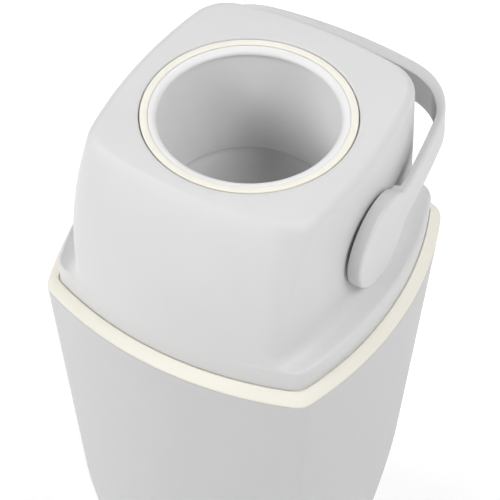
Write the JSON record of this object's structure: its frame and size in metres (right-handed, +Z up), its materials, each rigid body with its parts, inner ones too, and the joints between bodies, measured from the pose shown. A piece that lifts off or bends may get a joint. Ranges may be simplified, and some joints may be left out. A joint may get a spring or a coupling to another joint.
{
  "type": "nappy bin",
  "caption": "Nappy bin: a tall tapering bucket and a hinged head with a ball-shaped drum that a U-shaped handle turns, so that a loose piston pushes what lies in it down into the bucket.",
  "frame": {"origin": "centre of the flat face that the bin stands on, which is the underside of the pad, right below the axis of the drum's bore", "axes": "+Z up, -Y towards the front of the bin, +X to the right of someone behind it who faces the front, along the axis that the handle turns on"},
  "size_m": [0.2506, 0.2699, 0.525],
  "materials": {
    "shell": "satin light grey moulded plastic",
    "handle": "satin moulded plastic, slightly darker grey than the shell",
    "soft_rim": "matt cream soft plastic",
    "pad": "matt dark grey foam rubber",
    "bearing": "dark grey low-friction plastic",
    "slide_ring": "white low-friction plastic",
    "magnet": "nickel-plated magnet",
    "plate_steel": "zinc-plated sheet steel",
    "fixings": "zinc-plated screws and pin"
  },
  "bodies": {
    "bin": {"bucket": "shell", "base_pad": "pad", "rim_seal": "soft_rim", "bag_ring": "shell", "keeper_plate": "plate_steel", "hinge_bracket": "shell", "bracket_screws": "fixings", "hinge_pin": "fixings"},
    "head": {"head_cover": "shell", "head_base": "shell", "head_screws": "fixings", "opening_seal": "soft_rim", "lower_seal": "soft_rim", "bearing_left": "bearing", "bearing_right": "bearing", "bearing_screws": "fixings", "hinge_leaf": "shell", "leaf_screws": "fixings", "lid_magnet": "magnet"},
    "drum": {"drum_upper": "shell", "drum_lower": "shell", "bore_liner": "shell", "drum_screws": "fixings", "hub_left": "bearing", "hub_right": "bearing", "hub_screws": "fixings", "handle": "handle"},
    "piston": {"piston_upper": "shell", "piston_lower": "shell", "piston_weight": "plate_steel", "piston_rings": "slide_ring"}
  },
  "joints": [
    {"name": "head_tilt", "type": "hinge", "parent": "bin", "child": "head", "pos_m": [0, 0.13, 0.4], "axis": [-1, 0, 0], "range_deg": [0, 85]},
    {"name": "drum_turn", "type": "hinge", "parent": "head", "child": "drum", "pos_m": [0, 0, 0.45675], "axis": [1, 0, 0], "range_deg": [0, 180]},
    {"name": "piston_slide", "type": "slide", "parent": "drum", "child": "piston", "axis": [0, 0, 1], "range_m": [0, 0.0902]}
  ]
}
